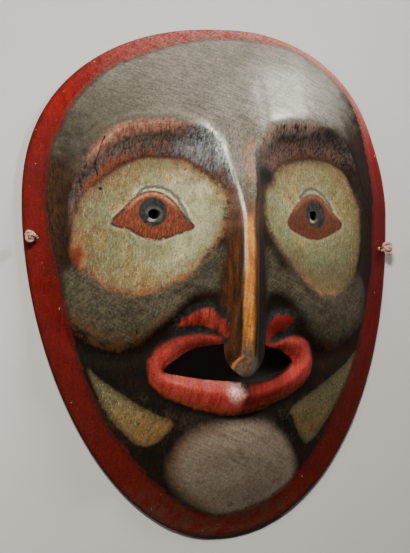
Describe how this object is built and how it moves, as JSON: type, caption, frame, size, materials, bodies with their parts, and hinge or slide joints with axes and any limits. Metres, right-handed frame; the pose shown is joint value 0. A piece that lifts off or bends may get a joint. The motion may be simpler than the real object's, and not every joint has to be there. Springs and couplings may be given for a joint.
{
  "type": "carved wooden face mask with a bird's beak",
  "caption": "Carved and painted wooden mask: round staring eyes, a hooked beak for a nose, an open mouth with red lips, a hollow back and a knotted cord.",
  "frame": {"origin": "middle of the mask's outline, on the plane of the flat rim that it lies on", "axes": "+Z out of the face, +Y towards the forehead, +X to the viewer's right"},
  "size_m": [0.1929, 0.2492, 0.055],
  "materials": {
    "painted_wood": "hand-painted wood in grey, black, red and pale green, worn to a soft sheen",
    "twine": "matt twisted twine stained with red pigment"
  },
  "bodies": {
    "root": {"mask_shell": "painted_wood", "hanging_cord": "twine", "cord_knot_left": "twine", "cord_knot_right": "twine"}
  },
  "joints": []
}
